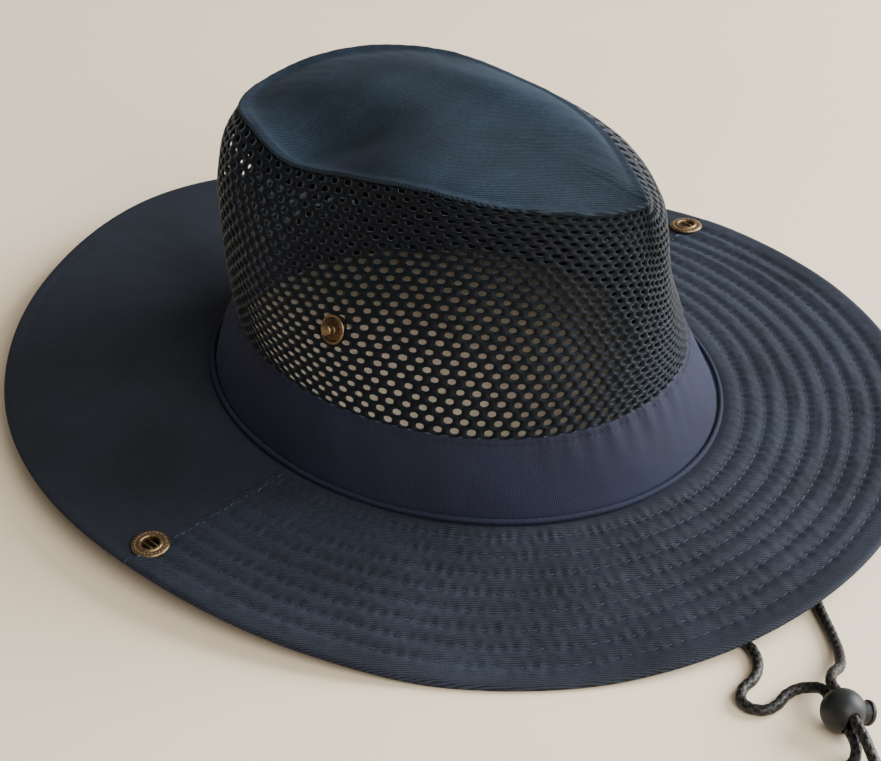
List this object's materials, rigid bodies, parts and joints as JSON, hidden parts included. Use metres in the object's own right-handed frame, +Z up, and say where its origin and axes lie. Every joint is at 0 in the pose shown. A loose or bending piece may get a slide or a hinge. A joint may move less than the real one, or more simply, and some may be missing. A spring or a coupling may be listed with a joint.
{
  "type": "fishing hat",
  "caption": "Wide-brimmed fishing hat with a net crown, a quilted front brim, snaps that hold the brim up at the sides, and a chin cord with a cord lock.",
  "frame": {"origin": "middle of the brim's outline on the surface that the hat rests on", "axes": "+Y towards the back of the head, -Y towards the quilted front of the brim, +Z up through the crown, +X to the wearer's left"},
  "size_m": [0.3292, 0.4336, 0.1222],
  "materials": {
    "top_twill": "navy cotton twill, matt",
    "band_twill": "navy cotton twill, matt",
    "brim_twill": "navy cotton twill, quilted at the front",
    "net": "navy polyester net",
    "cord": "black braided polyester",
    "lock_plastic": "black moulded plastic, satin",
    "brass": "antique brass, darkened"
  },
  "bodies": {
    "hat": {"crown_top": "top_twill", "crown_net": "net", "crown_band": "band_twill", "band_welt": "band_twill", "brim_front": "brim_twill", "brim_back": "brim_twill", "brim_snap_near": "brass", "brim_snap_far": "brass", "crown_stud_near": "brass", "crown_stud_far": "brass", "cord_near": "cord", "cord_far": "cord", "cord_tail": "cord", "cord_lock": "lock_plastic"},
    "lock_button": {"cord_lock_button": "lock_plastic"}
  },
  "joints": [
    {"name": "button_press", "type": "slide", "parent": "hat", "child": "lock_button", "axis": [-0.7966, 0.5094, 0.3256], "range_m": [0, 0.0024], "stiffness_N_per_m": 300}
  ]
}
